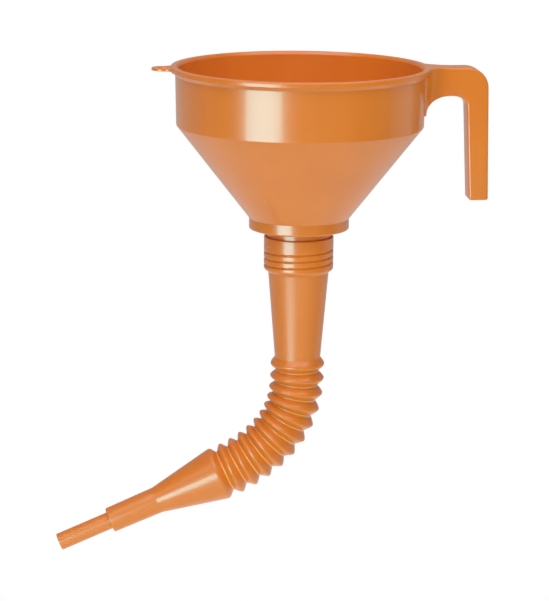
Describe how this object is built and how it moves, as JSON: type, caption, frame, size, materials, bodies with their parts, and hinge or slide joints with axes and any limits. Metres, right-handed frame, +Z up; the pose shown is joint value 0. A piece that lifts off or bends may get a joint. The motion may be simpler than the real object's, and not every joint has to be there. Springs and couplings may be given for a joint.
{
  "type": "flexible spout funnel",
  "caption": "Round plastic funnel with a side handle, a hanging eye, a lift-out strainer and a screw-on bellows spout that bends to a stepped nozzle.",
  "frame": {"origin": "middle of the hand grip, where a hand holds the funnel", "axes": "+Z up along the funnel's axis, from the outlet to the rim; +X from the bowl to the handle, on the same side as the grip and away from the nozzle; +Y across, left of +X"},
  "size_m": [0.2698, 0.16, 0.307],
  "materials": {
    "orange_moulding": "semi-gloss injection moulding",
    "orange_blow_moulding": "semi-gloss blow moulding",
    "strainer_frame": "satin",
    "brass_wire": "woven wire"
  },
  "bodies": {
    "funnel": {"bowl": "orange_moulding", "outlet_neck": "orange_moulding", "handle": "orange_moulding", "hanging_eye": "orange_moulding"},
    "strainer": {"strainer_ring": "strainer_frame", "strainer_gauze": "brass_wire"},
    "spout_collar": {"spout_collar": "orange_blow_moulding"},
    "spout_tube": {"spout_tube": "orange_blow_moulding"},
    "fold_02": {"fold_02": "orange_blow_moulding"},
    "fold_03": {"fold_03": "orange_blow_moulding"},
    "fold_04": {"fold_04": "orange_blow_moulding"},
    "fold_05": {"fold_05": "orange_blow_moulding"},
    "fold_06": {"fold_06": "orange_blow_moulding"},
    "fold_07": {"fold_07": "orange_blow_moulding"},
    "fold_08": {"fold_08": "orange_blow_moulding"},
    "fold_09": {"fold_09": "orange_blow_moulding"},
    "fold_10": {"fold_10": "orange_blow_moulding"},
    "fold_11": {"fold_11": "orange_blow_moulding"},
    "nozzle": {"nozzle": "orange_blow_moulding"}
  },
  "joints": [
    {"name": "strainer_lift", "type": "slide", "parent": "funnel", "child": "strainer", "axis": [0, 0, 1], "range_m": [0, 0.12]},
    {"name": "spout_drop", "type": "slide", "parent": "funnel", "child": "spout_collar", "axis": [0, 0, -1], "range_m": [0, 0.0042]},
    {"name": "spout_turn", "type": "hinge", "parent": "spout_collar", "child": "spout_tube", "pos_m": [-0.1104, 0, -0.0784], "axis": [0, 0, -1], "range_deg": [0, 360]},
    {"name": "bend_02", "type": "hinge", "parent": "spout_tube", "child": "fold_02", "pos_m": [-0.1104, 0, -0.1418], "axis": [0, 1, 0], "range_deg": [-2.51, 0.51], "deforming": ["fold_02"]},
    {"name": "bend_03", "type": "hinge", "parent": "fold_02", "child": "fold_03", "pos_m": [-0.11077, 0, -0.15029], "axis": [0, 1, 0], "range_deg": [-4.51, 0.91], "deforming": ["fold_03"]},
    {"name": "bend_04", "type": "hinge", "parent": "fold_03", "child": "fold_04", "pos_m": [-0.11181, 0, -0.15873], "axis": [0, 1, 0], "range_deg": [-7.61, 1.53], "deforming": ["fold_04"]},
    {"name": "bend_05", "type": "hinge", "parent": "fold_04", "child": "fold_05", "pos_m": [-0.11395, 0, -0.16695], "axis": [0, 1, 0], "range_deg": [-9.5, 1.9], "deforming": ["fold_05"]},
    {"name": "bend_06", "type": "hinge", "parent": "fold_05", "child": "fold_06", "pos_m": [-0.11742, 0, -0.17471], "axis": [0, 1, 0], "range_deg": [-8.51, 1.71], "deforming": ["fold_06"]},
    {"name": "bend_07", "type": "hinge", "parent": "fold_06", "child": "fold_07", "pos_m": [-0.122, 0, -0.18187], "axis": [0, 1, 0], "range_deg": [-8.21, 1.65], "deforming": ["fold_07"]},
    {"name": "bend_08", "type": "hinge", "parent": "fold_07", "child": "fold_08", "pos_m": [-0.12755, 0, -0.18831], "axis": [0, 1, 0], "range_deg": [-7.01, 1.41], "deforming": ["fold_08"]},
    {"name": "bend_09", "type": "hinge", "parent": "fold_08", "child": "fold_09", "pos_m": [-0.13385, 0, -0.19402], "axis": [0, 1, 0], "range_deg": [-6.31, 1.27], "deforming": ["fold_09"]},
    {"name": "bend_10", "type": "hinge", "parent": "fold_09", "child": "fold_10", "pos_m": [-0.14074, 0, -0.199], "axis": [0, 1, 0], "range_deg": [-5.01, 1.01], "deforming": ["fold_10"]},
    {"name": "bend_11", "type": "hinge", "parent": "fold_10", "child": "fold_11", "pos_m": [-0.14803, 0, -0.20337], "axis": [0, 1, 0], "range_deg": [-4.21, 0.85], "deforming": ["fold_11"]},
    {"name": "bend_12", "type": "hinge", "parent": "fold_11", "child": "nozzle", "pos_m": [-0.15562, 0, -0.20719], "axis": [0, 1, 0], "range_deg": [-3.61, 0.73]}
  ],
  "couplings": [
    {"joint": "spout_drop", "follows": "spout_turn", "m_per_rad": 0.00065253},
    {"joint": "bend_02", "follows": "bend_05", "ratio": 0.26316},
    {"joint": "bend_03", "follows": "bend_05", "ratio": 0.47368},
    {"joint": "bend_04", "follows": "bend_05", "ratio": 0.8},
    {"joint": "bend_06", "follows": "bend_05", "ratio": 0.89474},
    {"joint": "bend_07", "follows": "bend_05", "ratio": 0.86316},
    {"joint": "bend_08", "follows": "bend_05", "ratio": 0.73684},
    {"joint": "bend_09", "follows": "bend_05", "ratio": 0.66316},
    {"joint": "bend_10", "follows": "bend_05", "ratio": 0.52632},
    {"joint": "bend_11", "follows": "bend_05", "ratio": 0.44211},
    {"joint": "bend_12", "follows": "bend_05", "ratio": 0.37895}
  ]
}
